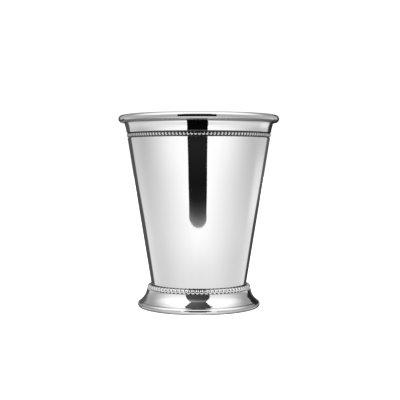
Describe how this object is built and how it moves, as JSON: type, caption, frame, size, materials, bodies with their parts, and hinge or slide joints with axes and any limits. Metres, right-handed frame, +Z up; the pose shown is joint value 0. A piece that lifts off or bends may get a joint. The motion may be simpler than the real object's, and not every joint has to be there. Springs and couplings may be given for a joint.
{
  "type": "julep cup",
  "caption": "Footed, tapered metal drinking cup with a rolled rim, a fine beaded band let into the wall, a pearl ring over the seam and a flared hollow foot.",
  "frame": {"origin": "centre of the foot's flat rest ring, on the cup's axis and on the plane that it stands on", "axes": "+Z up along the cup's axis of revolution; the cup is round, so X and Y are alike, and -Y faces the picture's viewer"},
  "size_m": [0.0852, 0.0852, 0.1016],
  "materials": {
    "polished_steel": "polished",
    "bead_wire": "polished",
    "solder": "satin"
  },
  "bodies": {
    "root": {"cup_body": "polished_steel", "upper_bead_wire": "bead_wire", "upper_wire_solder": "solder", "foot_skirt": "polished_steel", "foot_bead_wire": "bead_wire", "foot_wire_solder": "solder", "foot_solder_joint": "solder"}
  },
  "joints": []
}
